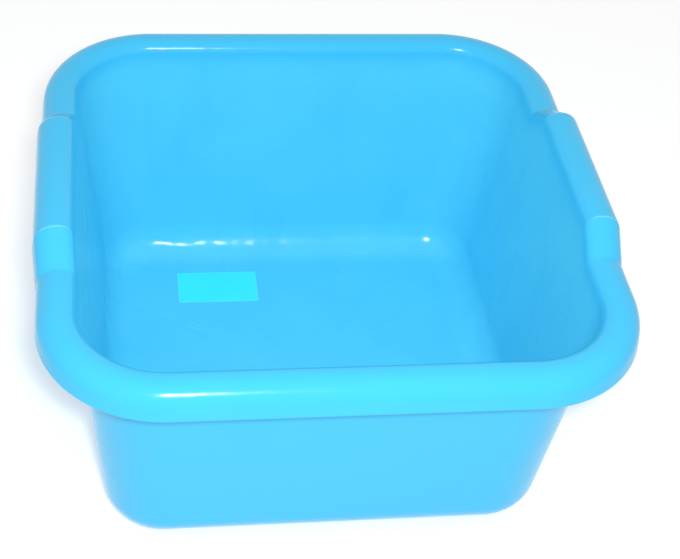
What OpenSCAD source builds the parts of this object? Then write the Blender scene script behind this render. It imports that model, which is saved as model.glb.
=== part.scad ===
// Square washing up bowl for a kitchen sink, moulded in one shot from one sheet-like wall:
// a floor on a foot ring, four leaning walls, and a rim that turns over into a skirt.
// On the left and the right the rim steps up into a grip, with room for fingers under it.
// A small blank label is stuck to the floor. The origin is on the ground under the middle.

/* [Rim] */
// Width of the rim from skirt to skirt, left to right, away from the grips
rim_w = 320; // [290:1:400]
// Depth of the rim from skirt to skirt, front to back
rim_d = 320; // [290:1:400]
// Height of the rim above what the bowl stands on
rim_h = 163; // [110:1:220]
// Radius of the rim's outer corners, seen from above
corner_r = 67; // [62:1:80]
// Width of the rim from the basin's wall to the outside of the skirt
rim_band = 21.5; // [20.5:0.5:24]
// Radius where the basin's wall turns over into the rim
mouth_r = 8; // [2.5:0.5:9]
// Radius where the rim turns down into the skirt
rim_r = 12; // [4:0.5:13]
// Depth of the skirt's edge below the top of the rim
skirt_drop = 16.5; // [13:0.5:23]
// Outward lean of the skirt, in degrees
skirt_lean = 9; // [0:0.5:14]

/* [Basin] */
// Thickness of the walls, the floor, the rim and the skirt
wall = 2; // [1.4:0.1:3]
// Outward lean of the basin's walls, in degrees
wall_lean = 5.2; // [2:0.2:7]
// Outer radius between the walls and the floor
fillet_r = 24; // [10:1:28]
// Height of the foot ring below the floor
foot_h = 1.6; // [0.8:0.1:3]
// Width of the foot ring
foot_w = 4; // [2:0.5:8]

/* [Grips] */
// Length of the flat top of each grip
grip_l = 95; // [70:1:120]
// Length of the slope at each end of a grip
grip_slope = 20; // [10:1:30]
// How far the top of a grip stands above the rim
grip_rise = 12.5; // [4:0.5:20]
// How far a grip stands out beyond the rim
grip_out = 1.5; // [0:0.1:4]

/* [Label] */
// Width of the label, left to right
label_w = 54; // [30:1:90]
// Depth of the label, front to back
label_d = 29; // [15:1:60]
// Thickness of the label
label_t = 0.2; // [0.1:0.05:0.5]
// Radius of the label's corners
label_r = 1.5; // [0.5:0.5:4]
// Gap from the label to the left end of the floor's flat part
label_side = 27.5; // [0:0.5:60]
// Gap from the label to the back end of the floor's flat part
label_back = 6.5; // [0:0.5:40]

/* [Hidden] */

bowl_colour = [0.27, 0.78, 1.00];
label_colour = [0.24, 0.93, 1.00];

// Steps round each bend of the section, and round each corner of the plan
fillet_steps = 7;
mouth_steps = 6;
rim_steps = 7;
edge_steps = 4;
corner_steps = 10;

// Centres of the plan's four corners, which every level of the bowl shares
centre_x = rim_w / 2 - corner_r;
centre_y = rim_d / 2 - corner_r;

// Heights of the middle of the wall at the floor and at the rim
floor_mid = foot_h + wall / 2;
rim_mid = rim_h - wall / 2;

// Distances out from the corner centres, to the middle of the wall
mouth_out = corner_r - rim_band + wall / 2;
base_out = mouth_out - (rim_mid - floor_mid) * tan(wall_lean);
skirt_out = corner_r - wall / 2;

// Where the flat of the floor ends, and how high its top lies
flat_out = base_out - (fillet_r - wall / 2) * tan((90 - wall_lean) / 2);
floor_top = foot_h + wall;

function unit(v) = v / norm(v);
function left_of(v) = [-v[1], v[0]];

// Points round a bend of radius r at corner b of the line a-b-c, each paired with the
// direction square to the line, on its left
function bend(a, b, c, r, steps) =
    let (
        come = unit(b - a),
        go = unit(c - b),
        turn = atan2(cross(come, go), come * go),
        side = sign(turn),
        centre = b - r * tan(abs(turn) / 2) * come + side * r * left_of(come),
        start = atan2(come[1], come[0])
    )
    [
        for (i = [0 : steps])
            let (heading = start + turn * i / steps, square = left_of([cos(heading), sin(heading)]))
            [centre - side * r * square, square]
    ];

// Middle line of the wall from the flat of the floor to the edge of the skirt, as
// [distance out, height] points with their directions. A lift of 1 is a grip, 0 the plain rim.
function middle_line(lift) =
    let (
        rise = lift * grip_rise,
        floor_end = [0, floor_mid],
        base = [base_out, floor_mid],
        mouth = [mouth_out + rise * tan(wall_lean), rim_mid + rise],
        lip = [skirt_out + lift * grip_out, rim_h - skirt_drop + rise],
        shoulder = [lip[0] - (mouth[1] - lip[1]) * tan(skirt_lean), mouth[1]]
    )
    concat(
        bend(floor_end, base, mouth, fillet_r - wall / 2, fillet_steps),
        bend(base, mouth, shoulder, mouth_r - wall / 2, mouth_steps),
        bend(mouth, shoulder, lip, rim_r - wall / 2, rim_steps),
        [[lip, left_of(unit(lip - shoulder))]]
    );

// The whole section: up the inside of the wall, over the rim, round the skirt's edge, back
// along the outside of the wall, and down round the foot ring
function section(lift) =
    let (
        line = middle_line(lift),
        last = len(line) - 1,
        edge = line[last][0],
        outward = line[last][1],
        down = -left_of(outward)
    )
    concat(
        [for (p = line) p[0] + p[1] * wall / 2],
        [
            for (i = [1 : edge_steps - 1])
                let (a = 180 * i / edge_steps)
                edge + (cos(a) * outward + sin(a) * down) * wall / 2
        ],
        [for (i = [last : -1 : 0]) line[i][0] - line[i][1] * wall / 2],
        [[flat_out, 0], [flat_out - foot_w, 0], [flat_out - foot_w, foot_h]]
    );

// Places round the plan where a section stands, each as
// [point that the section is measured from, direction that it faces, lift]
slope_end = grip_l / 2 + grip_slope;
function corner_places(at, from) =
    [for (i = [0 : corner_steps]) let (a = from + 90 * i / corner_steps) [at, [cos(a), sin(a)], 0]];
function grip_places(side) =
    [
        for (stop = [[-slope_end, 0], [-grip_l / 2, 1], [grip_l / 2, 1], [slope_end, 0]])
            [[side * centre_x, side * stop[0]], [side, 0], stop[1]]
    ];
places = concat(
    grip_places(1),
    corner_places([centre_x, centre_y], 0),
    corner_places([-centre_x, centre_y], 90),
    grip_places(-1),
    corner_places([-centre_x, -centre_y], 180),
    corner_places([centre_x, -centre_y], 270)
);

// Closed skin through the sections of all the places, with a fan of flat panels about the
// middle for the floor's top and another for its underside
module bowl() {
    sections = [for (p = places) section(p[2])];
    around = len(places);
    along = len(sections[0]);
    rings = [
        for (i = [0 : around - 1], s = sections[i])
            let (plan = places[i][0] + s[0] * places[i][1])
            [plan[0], plan[1], s[1]]
    ];
    floor_middle = len(rings);
    under_middle = floor_middle + 1;
    skin = [
        for (i = [0 : around - 1])
            let (a = i * along, b = (i + 1) % around * along)
            each concat(
                [[floor_middle, b, a]],
                [for (j = [0 : along - 2]) each [[a + j, b + j + 1, a + j + 1], [a + j, b + j, b + j + 1]]],
                [[under_middle, a + along - 1, b + along - 1]]
            )
    ];
    color(bowl_colour)
        polyhedron(concat(rings, [[0, 0, floor_top], [0, 0, foot_h]]), skin, convexity = 6);
}

// Rectangle with true round corners, with its lower left corner at the origin
module round_plate(size, r) {
    translate([r, 0])
        square([size[0] - 2 * r, size[1]]);
    translate([0, r])
        square([size[0], size[1] - 2 * r]);
    for (x = [r, size[0] - r], y = [r, size[1] - r])
        translate([x, y])
            circle(r, $fn = 32);
}

// Blank label, stuck flat on the floor near its back left corner
module label() {
    left = -centre_x - flat_out + label_side;
    back = centre_y + flat_out - label_back;
    color(label_colour)
        translate([left, back - label_d, floor_top])
            linear_extrude(label_t)
                round_plate([label_w, label_d], label_r);
}

bowl();
label();
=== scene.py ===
import math

import bpy
import numpy as np
from mathutils import Matrix, Vector


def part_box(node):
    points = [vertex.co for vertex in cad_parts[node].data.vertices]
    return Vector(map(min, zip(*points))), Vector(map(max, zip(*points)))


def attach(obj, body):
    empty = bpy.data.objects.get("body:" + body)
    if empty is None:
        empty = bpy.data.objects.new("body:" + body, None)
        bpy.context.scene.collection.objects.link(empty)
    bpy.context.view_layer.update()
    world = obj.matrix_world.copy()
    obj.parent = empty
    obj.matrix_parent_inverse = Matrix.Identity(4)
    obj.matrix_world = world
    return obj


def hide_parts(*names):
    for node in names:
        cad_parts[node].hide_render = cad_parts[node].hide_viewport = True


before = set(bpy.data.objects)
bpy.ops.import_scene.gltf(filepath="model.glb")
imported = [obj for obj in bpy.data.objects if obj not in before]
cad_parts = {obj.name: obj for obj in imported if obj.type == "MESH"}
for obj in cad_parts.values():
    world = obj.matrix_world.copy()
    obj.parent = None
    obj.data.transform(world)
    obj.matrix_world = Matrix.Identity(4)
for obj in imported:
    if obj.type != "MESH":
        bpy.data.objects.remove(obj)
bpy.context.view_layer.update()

# Bowl
# One injection moulding in azure polypropylene, at one wall thickness: floor, foot ring, leaning
# walls, and a rim that turns over into a skirt and steps up into a grip on the left and the right.
# It leaves the mould in one piece, so nothing is fixed to it.

bowl_low, bowl_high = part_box("bowl")
wall = 0.002
grip_rise = 0.0125
grip_out = 0.0015
grip_length = 0.095
grip_slope = 0.020
crease_softness = 0.0007
corner_radius = 0.067
rim_band = 0.0215
skirt_drop = 0.0165
skirt_lean = math.radians(9.0)
wall_lean = math.radians(5.2)
fillet_radius = 0.024
mouth_radius = 0.008
shoulder_radius = 0.012
foot_height = 0.0016
foot_width = 0.004
foot_edge_radius = 0.0005
floor_crown = 0.0006
gate_radius = 0.009
gate_recess = 0.0007
stub_radius = 0.0026
stub_height = 0.0011

# Distances out from the corners' centres, and heights, that follow from these sizes
rim_height = bowl_high.z - grip_rise
centre_x = bowl_high.x - grip_out - corner_radius
centre_y = bowl_high.y - corner_radius
floor_middle = foot_height + wall / 2
floor_top = foot_height + wall
rim_middle = rim_height - wall / 2
mouth_out = corner_radius - rim_band + wall / 2
base_out = mouth_out - (rim_middle - floor_middle) * math.tan(wall_lean)
flat_out = base_out - (fillet_radius - wall / 2) * math.tan((math.pi / 2 - wall_lean) / 2)

# Steps of the mesh: round the plan, along the section, and over the flat of the floor
grip_side_steps = [14, 12, 10, 12, 6]
back_steps = 44
corner_steps = 36
flat_steps = 3
section_bend_steps = [16, 14, 14]
section_run_steps = [flat_steps, 16, 3, 4]
skirt_edge_steps = 8
foot_bend_steps = [4, 4, 4]
foot_run_steps = [2, 3, 2, 2]
floor_rings = 17
ring_crowding = 1.5


def soft_step(distance, length, softness):
    """Straight slope from 0 at distance 0 to 1 at length, as the difference of two hyperbolas, so
    that both of its creases are rounded by softness."""
    return 0.5 + (np.hypot(distance, softness) - np.hypot(distance - length, softness)) / (2 * length)


def stretch(ends, steps):
    """Places from the first end to the last, evenly spaced in each stretch, the last one left out."""
    return np.concatenate(
        [np.linspace(a, b, n, endpoint=False) for a, b, n in zip(ends[:-1], ends[1:], steps)]
    )


def rim_path():
    """Path round the plan, counter-clockwise from the front end of the right side. Each place has the
    point that its section is measured from, the direction that it faces, and its lift: 0 on the plain
    rim, 1 on a grip. The sides are straight, and each corner turns about its own centre."""
    slope_start = grip_length / 2
    slope_end = slope_start + grip_slope
    near = 4 * crease_softness
    half = [0, slope_start - near, slope_start + near, slope_end - near, slope_end + near, centre_y]
    side = stretch([-v for v in half[::-1]] + half[1:], grip_side_steps[::-1] + grip_side_steps)
    back = stretch([-centre_x, centre_x], [back_steps])
    turn = stretch([0, math.pi / 2], [corner_steps])
    lift = soft_step(slope_end - np.abs(side), grip_slope, crease_softness)
    legs = []
    for quarter, (x, y) in enumerate([(1, 1), (-1, 1), (-1, -1), (1, -1)]):
        heading = quarter * math.pi / 2
        across, lifts = (side, lift) if quarter % 2 == 0 else (back, np.zeros(len(back)))
        out = centre_x if quarter % 2 == 0 else centre_y
        legs.append(np.stack([
            out * np.cos(heading) - across * np.sin(heading),
            out * np.sin(heading) + across * np.cos(heading),
            np.full(len(across), heading),
            lifts,
        ], axis=1))
        legs.append(np.stack([
            np.full(len(turn), x * centre_x),
            np.full(len(turn), y * centre_y),
            heading + turn,
            np.zeros(len(turn)),
        ], axis=1))
    return np.concatenate(legs)


def unit(vectors):
    """Each vector over its own length."""
    return vectors / np.linalg.norm(vectors, axis=-1, keepdims=True)


def left_of(vectors):
    """Each flat vector turned a quarter to its left."""
    return np.stack([-vectors[..., 1], vectors[..., 0]], axis=-1)


def rounded_line(corners, radii, bend_steps, run_steps):
    """Line through corners[place, corner], where each inner corner becomes an arc of its radius: the
    arc's centre lies beside the corner, and its points are that centre less the radius times the
    normal, as the heading turns evenly. The runs between arcs are straight and evenly stepped. Gives
    the points and their left-hand normals for all places at once."""
    points = [corners[:, :1]]
    normals = [left_of(unit(corners[:, 1:2] - corners[:, :1]))]
    for k, (radius, steps) in enumerate(zip(radii, bend_steps)):
        before, corner, after = (corners[:, k + i] for i in range(3))
        come = unit(corner - before)
        go = unit(after - corner)
        turn = np.arctan2(come[:, 0] * go[:, 1] - come[:, 1] * go[:, 0], np.sum(come * go, axis=1))
        side = np.sign(turn)[:, None]
        back = radius * np.tan(np.abs(turn) / 2)[:, None]
        centre = corner - back * come + side * radius * left_of(come)
        share = np.linspace(0, 1, steps + 1)
        heading = np.arctan2(come[:, 1], come[:, 0])[:, None] + turn[:, None] * share
        square = np.stack([-np.sin(heading), np.cos(heading)], axis=-1)
        arc = centre[:, None] - side[:, None] * radius * square
        run = np.linspace(0, 1, run_steps[k] + 1)[1:-1, None]
        points += [points[-1][:, -1:] * (1 - run) + arc[:, :1] * run, arc]
        normals += [np.repeat(square[:, :1], len(run), axis=1), square]
    run = np.linspace(0, 1, run_steps[-1] + 1)[1:, None]
    points.append(points[-1][:, -1:] * (1 - run) + corners[:, -1:] * run)
    normals.append(np.repeat(normals[-1][:, -1:], len(run), axis=1))
    return np.concatenate(points, axis=1), np.concatenate(normals, axis=1)


def bowl_section(lift):
    """Section of the moulding at each place, as (distance out, height): the middle line of the wall,
    set off by half the wall to its left for the inside, round the skirt's edge in a half circle, set
    off to its right back down the outside, and then round the foot ring."""
    rise = lift * grip_rise
    level = np.zeros(len(lift))
    mouth = np.stack([mouth_out + rise * math.tan(wall_lean), rim_middle + rise], axis=-1)
    lip = np.stack([corner_radius - wall / 2 + lift * grip_out, rim_height - skirt_drop + rise], axis=-1)
    shoulder_out = lip[:, 0] - (mouth[:, 1] - lip[:, 1]) * math.tan(skirt_lean)
    shoulder = np.stack([shoulder_out, mouth[:, 1]], axis=-1)
    start = np.stack([level + flat_out - foot_width, level + floor_middle], axis=-1)
    base = np.stack([level + base_out, level + floor_middle], axis=-1)
    line, square = rounded_line(
        np.stack([start, base, mouth, shoulder, lip], axis=1),
        [fillet_radius - wall / 2, mouth_radius - wall / 2, shoulder_radius - wall / 2],
        section_bend_steps,
        section_run_steps,
    )
    edge, outward = line[:, -1:], square[:, -1:]
    swing = np.linspace(0, math.pi, skirt_edge_steps + 1)[1:-1, None]
    round_edge = edge + (np.cos(swing) * outward - np.sin(swing) * left_of(outward)) * wall / 2
    outside = (line - square * wall / 2)[:, flat_steps:][:, ::-1]
    foot_corners = np.stack([
        outside[:, -1],
        np.stack([level + flat_out, level], axis=-1),
        np.stack([level + flat_out - foot_width, level], axis=-1),
        np.stack([level + flat_out - foot_width, level + foot_height], axis=-1),
        np.stack([level + flat_out - 2 * foot_width, level + foot_height], axis=-1),
    ], axis=1)
    foot, _ = rounded_line(foot_corners, [foot_edge_radius] * 3, foot_bend_steps, foot_run_steps)
    return np.concatenate([line + square * wall / 2, round_edge, outside[:, :-1], foot], axis=1)


def smooth(values, low, high):
    """Smooth step from 0 at low to 1 at high."""
    share = np.clip((values - low) / (high - low), 0, 1)
    return share * share * (3 - 2 * share)


def crown_at(x, y):
    """Rise of the floor above its edges: a low dome, squared in x and y so that it starts level."""
    reach_x = 1 - (x / (centre_x + flat_out)) ** 2
    reach_y = 1 - (y / (centre_y + flat_out)) ** 2
    return floor_crown * np.clip(reach_x, 0, 1) ** 2 * np.clip(reach_y, 0, 1) ** 2


def gate_mark(distance):
    """Where the plastic was injected: a shallow round recess under the middle of the floor, with the
    stub of the broken sprue in it. Each is a smooth step of the distance from the middle."""
    recess = gate_recess * (1 - smooth(distance, 0.6 * gate_radius, gate_radius))
    stub = stub_height * (1 - smooth(distance, 0.6 * stub_radius, stub_radius))
    return recess - stub


def moulded_skin():
    """Lines of the moulding's whole skin, each from near the middle of the floor's top out over the
    rim and back to near the middle of the underside. The rings on the flat of the floor crowd towards
    the middle, as a power of their share of the way out."""
    path = rim_path()
    facing = np.stack([np.cos(path[:, 2]), np.sin(path[:, 2])], axis=-1)
    section = bowl_section(path[:, 3])
    plan = path[:, None, :2] + section[:, :, :1] * facing[:, None]
    skin = np.concatenate([plan, section[:, :, 1:]], axis=2)
    shares = (np.arange(1, floor_rings + 1) / (floor_rings + 1))[None, :, None] ** ring_crowding
    inner = np.concatenate(
        [skin[:, :1, :2] * shares, np.repeat(skin[:, :1, 2:], floor_rings, axis=1)], axis=2
    )
    under = np.concatenate(
        [skin[:, -1:, :2] * shares[:, ::-1], np.repeat(skin[:, -1:, 2:], floor_rings, axis=1)], axis=2
    )
    under[:, :, 2] += gate_mark(np.hypot(under[:, :, 0], under[:, :, 1]))
    lines = np.concatenate([inner, skin, under], axis=1)
    lines[:, :, 2] += crown_at(lines[:, :, 0], lines[:, :, 1])
    return lines


def closed_skin(name, lines, first_pole, last_pole):
    """Closed mesh from lines[place, step]: each line is joined to the next by four-sided faces, the
    last to the first, and the lines' two ends run together to a pole at each end."""
    places, steps = lines.shape[:2]
    index = np.arange(places * steps).reshape(places, steps)
    beside = np.roll(index, -1, axis=0)
    quads = np.stack([index[:, :-1], index[:, 1:], beside[:, 1:], beside[:, :-1]], axis=-1).reshape(-1, 4)
    first, last = places * steps, places * steps + 1
    first_fan = np.stack([np.full(places, first), index[:, 0], beside[:, 0]], axis=-1)
    last_fan = np.stack([np.full(places, last), beside[:, -1], index[:, -1]], axis=-1)
    points = np.concatenate([lines.reshape(-1, 3), [first_pole, last_pole]])
    mesh = bpy.data.meshes.new(name)
    mesh.from_pydata(points.tolist(), [], quads.tolist() + first_fan.tolist() + last_fan.tolist())
    mesh.shade_smooth()
    piece = bpy.data.objects.new(name, mesh)
    bpy.context.scene.collection.objects.link(piece)
    return piece


def basin_mask(lines):
    """1 on the inside of the basin and 0 elsewhere: the material paints it paler there, as painted light
    that lifts the shade inside the basin, and makes it a little duller. It fades out over the last 20 mm
    below the top of the rim."""
    mouth_step = int(np.argmax(lines[0, :, 2]))
    depth = lines[:, mouth_step:mouth_step + 1, 2] - lines[:, :, 2]
    mask = smooth(depth, 0.001, 0.020)
    mask[:, mouth_step:] = 0
    return mask


def flow_direction(lines):
    """Where the molten plastic flowed: it spread from the middle of the floor, so its marks run along
    each line. The first two values turn once with the place round the bowl, and the third grows slowly
    with the distance along the line."""
    turn = np.linspace(0, 2 * math.pi, len(lines), endpoint=False)
    reach = np.cumsum(np.linalg.norm(np.diff(lines, axis=1, prepend=lines[:, :1]), axis=-1), axis=1)
    round_the_bowl = np.stack([np.cos(turn), np.sin(turn)], axis=-1)[:, None]
    round_the_bowl = np.broadcast_to(round_the_bowl, lines[:, :, :2].shape)
    return np.concatenate([round_the_bowl, reach[:, :, None]], axis=2)


def ridge_mask(lines):
    """How far the surface bulges, from 0 where it is flat or hollow to 1 on a tight ridge: the turn from the
    step before a point to the step after it, against the outward normal, over the mean length of the two
    steps. It takes the larger of the turn along the line and the turn round the bowl. Only what faces up or
    stands on the sink is kept. The material paints these ridges paler, partly as wear and partly as a
    painted highlight along the creases."""
    faintest_wear_and_glint, full_wear_and_glint = 130.0, 420.0
    along = np.gradient(lines, axis=1)
    across = np.roll(lines, -1, axis=0) - np.roll(lines, 1, axis=0)
    normal = unit(np.cross(along, across))
    bulge = np.zeros(lines.shape[:2])
    for axis in (0, 1):
        before, after = np.roll(lines, 1, axis=axis), np.roll(lines, -1, axis=axis)
        ahead, behind = after - lines, lines - before
        spacing = (np.linalg.norm(ahead, axis=-1) + np.linalg.norm(behind, axis=-1)) / 2
        bend = np.sum((unit(behind) - unit(ahead)) * normal, axis=-1) / spacing
        bulge = np.maximum(bulge, bend)
    bulge[:, :2] = 0
    bulge[:, -2:] = 0
    faces_up = smooth(normal[:, :, 2], 0.1, 0.6)
    stands = lines[:, :, 2] < foot_height
    return smooth(bulge, faintest_wear_and_glint, full_wear_and_glint) * np.maximum(faces_up, stands)


def store(piece, name, values, pole_values):
    """Keeps one number or one direction for each point of a piece, for its material to read."""
    kind, field = ("FLOAT", "value") if values.ndim == 2 else ("FLOAT_VECTOR", "vector")
    flat = np.concatenate([values.reshape(-1, *values.shape[2:]), np.array(pole_values, float)])
    piece.data.attributes.new(name, kind, "POINT").data.foreach_set(field, flat.ravel().astype(np.float32))


skin_lines = moulded_skin()
bowl = closed_skin(
    "washing_up_bowl",
    skin_lines,
    first_pole=(0, 0, floor_top + floor_crown),
    last_pole=(0, 0, foot_height + floor_crown + gate_recess - stub_height),
)
flow = flow_direction(skin_lines)
store(bowl, "basin", basin_mask(skin_lines), [1, 0])
store(bowl, "ridge", ridge_mask(skin_lines), [0, 0])
store(bowl, "flow", flow, [(0, 0, 0), (0, 0, flow[0, -1, 2])])


def place(tree, kind, **settings):
    """Adds one node to a material or a group, with its settings."""
    node = tree.nodes.new(kind)
    for name, value in settings.items():
        setattr(node, name, value)
    return node


def plug(tree, source, target):
    """Joins a node's output to a node's input, or sets the input where the source is plain."""
    if isinstance(source, bpy.types.NodeSocket):
        tree.links.new(source, target)
    else:
        target.default_value = source


def calculate(tree, operation, *values):
    """Adds one sum, product or other operation on plain numbers and outputs."""
    node = place(tree, "ShaderNodeMath", operation=operation)
    for value, socket in zip(values, node.inputs):
        plug(tree, value, socket)
    return node.outputs[0]


def remap(tree, value, low, high, to_low=0.0, to_high=1.0):
    """Smooth step of a value from to_low at low to to_high at high."""
    node = place(tree, "ShaderNodeMapRange", interpolation_type="SMOOTHSTEP")
    for socket, number in zip(node.inputs, (value, low, high, to_low, to_high)):
        plug(tree, number, socket)
    return node.outputs["Result"]


def noise(tree, vector, scale, detail=2.0, roughness=0.5):
    """Soft noise about 0.5, with scale patches to the metre."""
    node = place(tree, "ShaderNodeTexNoise")
    for title, value in (("Vector", vector), ("Scale", scale), ("Detail", detail), ("Roughness", roughness)):
        plug(tree, value, node.inputs[title])
    return node.outputs["Fac"]


def mix_colour(tree, share, first, second):
    """The first colour where the share is 0, and the second where it is 1."""
    node = place(tree, "ShaderNodeMix", data_type="RGBA")
    for title, value in (("Factor", share), ("A", first), ("B", second)):
        plug(tree, value, node.inputs[title])
    return node.outputs["Result"]


def new_group(name, inputs, outputs):
    """Empty node group with a Vector input, named number inputs, each with its value, and named number
    outputs."""
    group = bpy.data.node_groups.new(name, "ShaderNodeTree")
    group.interface.new_socket("Vector", in_out="INPUT", socket_type="NodeSocketVector")
    for title, value in inputs.items():
        socket = group.interface.new_socket(title, in_out="INPUT", socket_type="NodeSocketFloat")
        socket.default_value = value
    for title in outputs:
        group.interface.new_socket(title, in_out="OUTPUT", socket_type="NodeSocketFloat")
    return group, place(group, "NodeGroupInput"), place(group, "NodeGroupOutput")


def hairline_group():
    """Hairline scratches: noise drawn out along one direction, kept only where it crosses its middle
    value, so that each scratch is a thin line, and broken up by a second, broad noise."""
    line_width = 0.012
    length_to_width = (1.0, 0.045, 1.0)
    patch_scale = 38.0
    group, given, result = new_group(
        "hairlines", {"Angle": 0.0, "Fineness": 300.0, "Cover": 0.5}, ["Mask"]
    )
    turned = place(group, "ShaderNodeVectorRotate", rotation_type="Z_AXIS")
    plug(group, given.outputs["Vector"], turned.inputs["Vector"])
    plug(group, given.outputs["Angle"], turned.inputs["Angle"])
    drawn_out = place(group, "ShaderNodeVectorMath", operation="MULTIPLY")
    plug(group, turned.outputs[0], drawn_out.inputs[0])
    plug(group, length_to_width, drawn_out.inputs[1])
    lines = noise(group, drawn_out.outputs[0], given.outputs["Fineness"], detail=1.0)
    off_middle = calculate(group, "ABSOLUTE", calculate(group, "SUBTRACT", lines, 0.5))
    thin = remap(group, off_middle, 0.0, line_width, 1.0, 0.0)
    patches = noise(group, given.outputs["Vector"], patch_scale, detail=3.0)
    kept = remap(group, calculate(group, "ADD", patches, given.outputs["Cover"]), 0.95, 1.15)
    plug(group, calculate(group, "MULTIPLY", thin, kept), result.inputs["Mask"])
    return group


def moulded_grain_group():
    """Skin of a moulded sheet: fine pitting over a broad, very low orange peel, as a height, and a slow
    cloudiness for its gloss."""
    pit_share = 0.02
    cloud_scale = 26.0
    group, given, result = new_group(
        "moulded_grain", {"Pitting": 1400.0, "Peel": 90.0}, ["Height", "Cloud"]
    )
    pits = noise(group, given.outputs["Vector"], given.outputs["Pitting"], detail=2.0)
    peel = noise(group, given.outputs["Vector"], given.outputs["Peel"], detail=1.0)
    fine = calculate(group, "MULTIPLY", pits, pit_share)
    plug(group, calculate(group, "ADD", fine, peel), result.inputs["Height"])
    plug(group, noise(group, given.outputs["Vector"], cloud_scale, detail=4.0), result.inputs["Cloud"])
    return group


hairlines = hairline_group()
moulded_grain = moulded_grain_group()


def use_group(tree, group, **values):
    """Adds a node group to a material, with its values."""
    node = place(tree, "ShaderNodeGroup", node_tree=group)
    for title, value in values.items():
        plug(tree, value, node.inputs[title])
    return node.outputs


def new_material(name):
    """New material with its node tree, its shader, and the place on the piece as a vector."""
    material = bpy.data.materials.new(name)
    material.use_nodes = True
    tree = material.node_tree
    where = place(tree, "ShaderNodeTexCoord").outputs["Object"]
    return material, tree, tree.nodes["Principled BSDF"], where


def stored(tree, name, kind="Fac"):
    """What a piece keeps for each point under that name."""
    return place(tree, "ShaderNodeAttribute", attribute_name=name).outputs[kind]


def set_relief(tree, shader, height, strength, distance):
    """Turns a height into the relief that the shader shows."""
    bump = place(tree, "ShaderNodeBump")
    for title, value in (("Height", height), ("Strength", strength), ("Distance", distance)):
        plug(tree, value, bump.inputs[title])
    plug(tree, bump.outputs["Normal"], shader.inputs["Normal"])


fresh_azure = (0.052, 0.555, 0.92, 1)
# Paler azure, painted into the basin as painted light that lifts its shade.
basin_painted_light_azure = (0.110, 0.70, 0.96, 1)
deep_azure = (0.025, 0.50, 0.90, 1)
pale_azure = (0.30, 0.80, 0.92, 1)
gloss_roughness = 0.18
plastic_ior = 1.49
plastic_specular = 0.27
cloud_low, cloud_high = 0.3, 0.7
scratch_relief = -0.05


def bend_ripple(tree, where, basin):
    """Low ripple in the surface, where the moulding shrank as it cooled. It is six times as deep in the
    bend between the floor and the walls, which lies between two heights."""
    ripple_scale = 58.0
    extra_in_bend = 5.0
    bend_start, bend_full = 0.0045, 0.0080
    bend_fades, bend_end = 0.0140, 0.0380
    height_above = place(tree, "ShaderNodeSeparateXYZ")
    plug(tree, where, height_above.inputs[0])
    above_floor = remap(tree, height_above.outputs["Z"], bend_start, bend_full)
    below_wall = remap(tree, height_above.outputs["Z"], bend_fades, bend_end, 1.0, 0.0)
    in_bend = calculate(tree, "MULTIPLY", basin, calculate(tree, "MULTIPLY", above_floor, below_wall))
    sunk = calculate(tree, "MULTIPLY_ADD", in_bend, extra_in_bend, 1.0)
    ripple = calculate(tree, "SUBTRACT", noise(tree, where, ripple_scale, 1.0), 0.5)
    return calculate(tree, "MULTIPLY", ripple, sunk)


def bowl_plastic_material():
    """Azure polypropylene, glossy where it was never worn. The inside of the basin is painted a little
    paler, as painted light that lifts its shade, and is a little duller; ridges are paler, partly from wear
    and partly as a painted highlight along the creases; and flow marks run out from the middle of the floor."""
    streak_scale = 11.0
    # Patch size of the paler ridges, which are partly wear and partly a painted highlight.
    wear_scale = 260.0
    material, tree, shader, where = new_material("bowl_plastic")
    basin = stored(tree, "basin")
    ridge = stored(tree, "ridge")
    flow = stored(tree, "flow", "Vector")
    grain = use_group(tree, moulded_grain, Vector=where, Pitting=1400.0, Peel=90.0)
    cloud = grain["Cloud"]

    streaks = noise(tree, flow, streak_scale, detail=5.0, roughness=0.6)
    # Painted light: the inside of the basin is mixed towards a paler azure to lift its shade.
    basin_painted_light = calculate(tree, "MULTIPLY", basin, remap(tree, cloud, cloud_low, cloud_high, 0.85, 1.0))
    colour = mix_colour(tree, basin_painted_light, fresh_azure, basin_painted_light_azure)
    colour = mix_colour(tree, remap(tree, streaks, 0.45, 0.75, 0.0, 0.10), colour, deep_azure)
    # Ridges are painted paler: partly wear, partly a painted highlight along creases and edges.
    patchy = remap(tree, noise(tree, where, wear_scale, 3.0), 0.25, 0.50)
    wear_and_glint = calculate(tree, "MULTIPLY", ridge, patchy)
    colour = mix_colour(tree, calculate(tree, "MULTIPLY", wear_and_glint, 0.65), colour, pale_azure)
    along = use_group(tree, hairlines, Vector=where, Angle=0.5, Fineness=420.0, Cover=0.42)
    across = use_group(tree, hairlines, Vector=where, Angle=-1.1, Fineness=330.0, Cover=0.40)
    scuffs = calculate(tree, "MAXIMUM", along["Mask"], across["Mask"])
    scuffs = calculate(tree, "MULTIPLY", scuffs, calculate(tree, "MULTIPLY_ADD", basin, 0.75, 0.25))
    colour = mix_colour(tree, calculate(tree, "MULTIPLY", scuffs, 0.16), colour, pale_azure)
    plug(tree, colour, shader.inputs["Base Color"])

    dulled = calculate(tree, "MULTIPLY_ADD", basin, 0.02, gloss_roughness)
    dulled = calculate(tree, "ADD", dulled, remap(tree, cloud, cloud_low, cloud_high, -0.02, 0.03))
    dulled = calculate(tree, "MULTIPLY_ADD", scuffs, 0.20, dulled)
    dulled = calculate(tree, "MULTIPLY_ADD", wear_and_glint, 0.15, dulled)
    plug(tree, dulled, shader.inputs["Roughness"])

    scored = calculate(tree, "MULTIPLY_ADD", scuffs, scratch_relief, grain["Height"])
    scored = calculate(tree, "ADD", scored, bend_ripple(tree, where, basin))
    set_relief(tree, shader, scored, strength=0.6, distance=0.0003)

    shader.inputs["IOR"].default_value = plastic_ior
    shader.inputs["Specular IOR Level"].default_value = plastic_specular
    return material


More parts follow.
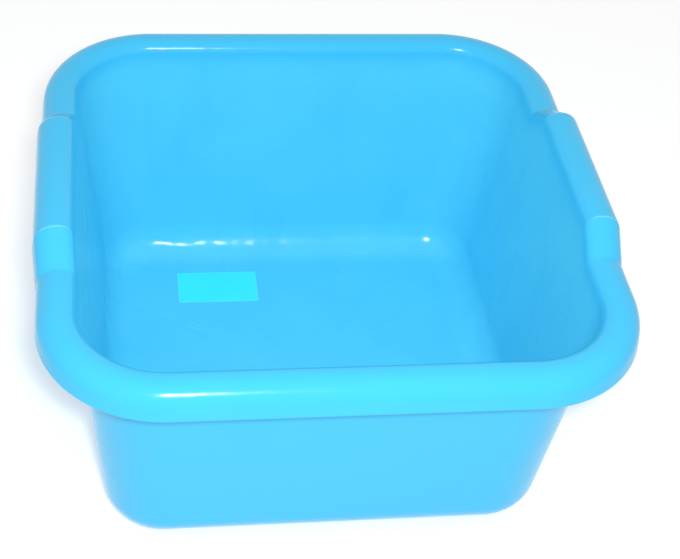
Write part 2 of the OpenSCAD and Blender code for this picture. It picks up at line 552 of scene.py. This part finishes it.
bowl.data.materials.append(bowl_plastic_material())
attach(bowl, "root")
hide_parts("bowl")

# Label
# A small rectangle of printed film, left blank, stuck flat to the floor of the bowl near its back
# left corner. Its face is matt, and its edges have worn pale.

label_low, label_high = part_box("label")
label_radius = 0.0015
label_corner_steps = 12
label_rings = 14
edge_crowding = 1.8
edge_height = 0.7
worn_border = 0.0016
label_size = label_high - label_low
label_middle = (label_high + label_low) / 2


def label_outline(width, depth, radius, steps):
    """Rectangle with round corners about the origin: each corner's centre plus the radius times the
    direction, as it turns once round."""
    turn = np.concatenate([np.linspace(q, q + 1, steps) for q in range(4)]) * math.pi / 2
    quarter = np.repeat(np.arange(4), steps)
    sign_x = np.where((quarter == 0) | (quarter == 3), 1, -1)
    sign_y = np.where(quarter < 2, 1, -1)
    x = sign_x * (width / 2 - radius) + radius * np.cos(turn)
    y = sign_y * (depth / 2 - radius) + radius * np.sin(turn)
    return np.stack([x, y], axis=-1)


def label_skin():
    """Lines of the label's skin, each from near the middle of its face straight out to the edge and
    back under it. The face's rings crowd towards the edge, as one less a power of what is left, and
    the last of them lies lower, which rounds the edge. The whole follows the crown of the floor."""
    outline = label_outline(label_size.x, label_size.y, label_radius, label_corner_steps)
    share = np.arange(1, label_rings + 1) / label_rings
    out = 1 - (1 - share) ** edge_crowding
    height = np.where(share < 1, 1.0, edge_height) * label_size.z
    reach = np.concatenate([out, out[::-1]])
    heights = np.concatenate([height, np.zeros(len(share))])
    plan = outline[:, None] * reach[None, :, None] + np.array(label_middle[:2])
    lines = np.concatenate([plan, np.broadcast_to(heights[None, :, None], (*plan.shape[:2], 1))], axis=2)
    lines[:, :, 2] += floor_top + crown_at(lines[:, :, 0], lines[:, :, 1])
    return lines


def edge_distance(lines):
    """Distance from each point of the label to its edge: along one side where the other is far, and
    from the corner's circle near a corner."""
    beyond = np.abs(lines[:, :, :2] - np.array(label_middle[:2]))
    beyond -= np.array(label_size[:2]) / 2 - label_radius
    corner = np.linalg.norm(np.maximum(beyond, 0), axis=-1)
    return label_radius - corner - np.minimum(beyond.max(axis=-1), 0)


label_lines = label_skin()
middle_height = floor_top + crown_at(label_middle.x, label_middle.y)
label = closed_skin(
    "floor_label",
    label_lines,
    first_pole=(label_middle.x, label_middle.y, middle_height + label_size.z),
    last_pole=(label_middle.x, label_middle.y, middle_height),
)
store(label, "edge", 1 - smooth(edge_distance(label_lines), 0.0, worn_border), [0, 0])

film_cyan = (0.060, 0.99, 0.97, 1)
film_shade = (0.050, 0.95, 0.96, 1)
film_pale = (0.30, 0.95, 0.97, 1)


def label_film_material():
    """Matt printed film: a bright, slightly mottled blue-green, worn pale at its edges, with the same
    scratches as the floor round it."""
    wear_scale = 700.0
    material, tree, shader, where = new_material("label_film")
    edge = stored(tree, "edge")
    grain = use_group(tree, moulded_grain, Vector=where, Pitting=2200.0, Peel=160.0)
    cloud = grain["Cloud"]

    colour = mix_colour(tree, remap(tree, cloud, cloud_low, cloud_high), film_cyan, film_shade)
    worn = calculate(tree, "MULTIPLY", edge, remap(tree, noise(tree, where, wear_scale, 3.0), 0.35, 0.60))
    colour = mix_colour(tree, calculate(tree, "MULTIPLY", worn, 0.4), colour, film_pale)
    scuffs = use_group(tree, hairlines, Vector=where, Angle=0.5, Fineness=420.0, Cover=0.48)["Mask"]
    colour = mix_colour(tree, calculate(tree, "MULTIPLY", scuffs, 0.35), colour, film_pale)
    plug(tree, colour, shader.inputs["Base Color"])

    matt = remap(tree, cloud, cloud_low, cloud_high, 0.38, 0.50)
    plug(tree, calculate(tree, "MULTIPLY_ADD", worn, 0.2, matt), shader.inputs["Roughness"])

    scored = calculate(tree, "MULTIPLY_ADD", scuffs, scratch_relief, grain["Height"])
    set_relief(tree, shader, scored, strength=0.5, distance=0.0002)
    return material


label.data.materials.append(label_film_material())
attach(label, "root")
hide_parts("label")

# Floor, light and camera
# A white sweep under the bowl, even light from all round, and one small lamp close beside the camera.

room_level = 0.60
floor_glow = 0.35
white = (1, 1, 1, 1)
paper_white = (0.86, 0.86, 0.86, 1)
sweep_size = 8


def seen_share(tree):
    """1 for a ray that sees the background itself, straight or in a reflection, and 0 for one that
    only gathers its light."""
    rays = place(tree, "ShaderNodeLightPath").outputs
    mirrored = calculate(tree, "MAXIMUM", rays["Is Glossy Ray"], rays["Is Transmission Ray"])
    return calculate(tree, "MAXIMUM", rays["Is Camera Ray"], mirrored)


bpy.ops.mesh.primitive_plane_add(size=sweep_size)
ground = bpy.context.object
ground.name = "ground"
ground_paper = bpy.data.materials.new("ground_paper")
ground_paper.use_nodes = True
tree = ground_paper.node_tree
tree.nodes.clear()
out = place(tree, "ShaderNodeOutputMaterial")
both = place(tree, "ShaderNodeAddShader")
paper = place(tree, "ShaderNodeBsdfDiffuse")
glow = place(tree, "ShaderNodeEmission")
plug(tree, paper_white, paper.inputs["Color"])
plug(tree, calculate(tree, "MULTIPLY", seen_share(tree), floor_glow), glow.inputs["Strength"])
plug(tree, paper.outputs[0], both.inputs[0])
plug(tree, glow.outputs[0], both.inputs[1])
plug(tree, both.outputs[0], out.inputs["Surface"])
ground.data.materials.append(ground_paper)

room = bpy.data.worlds.new("room")
bpy.context.scene.world = room
room.use_nodes = True
tree = room.node_tree
backdrop = tree.nodes["Background"]
plug(tree, white, backdrop.inputs["Color"])
plug(tree, remap(tree, seen_share(tree), 0.0, 1.0, room_level, 1.0), backdrop.inputs["Strength"])

camera_azimuth = math.radians(-10.25)
camera_elevation = math.radians(43.49)
camera_distance = 0.84101
camera_roll = math.radians(5.73)
camera_aim = Vector((-0.00731, 0.0, 0.07889))
back = Vector((
    math.sin(camera_azimuth) * math.cos(camera_elevation),
    -math.cos(camera_azimuth) * math.cos(camera_elevation),
    math.sin(camera_elevation),
))
level_right = (-back).cross(Vector((0, 0, 1))).normalized()
level_up = level_right.cross(-back)
right = level_right * math.cos(camera_roll) + level_up * math.sin(camera_roll)
up = level_up * math.cos(camera_roll) - level_right * math.sin(camera_roll)
camera_data = bpy.data.cameras.new("camera")
camera_data.sensor_width = 36
camera_data.lens = 73.25
camera_data.shift_x = 0.0588
camera_data.shift_y = 0.0154
camera_data.clip_start = 0.01
camera = bpy.data.objects.new("camera", camera_data)
camera_turn = Matrix((right, up, back)).transposed().to_4x4()
camera.matrix_world = Matrix.Translation(camera_aim + back * camera_distance) @ camera_turn
bpy.context.scene.collection.objects.link(camera)
bpy.context.scene.camera = camera

lamp_beside_camera = right * 0.03 + up * 0.02
lamp_data = bpy.data.lights.new("lamp", "AREA")
lamp_data.shape = "RECTANGLE"
lamp_data.size = 0.055
lamp_data.size_y = 0.045
lamp_data.energy = 4.0
lamp = bpy.data.objects.new("lamp", lamp_data)
lamp.matrix_world = Matrix.Translation(lamp_beside_camera) @ camera.matrix_world
bpy.context.scene.collection.objects.link(lamp)

bpy.context.scene.view_settings.view_transform = "Standard"
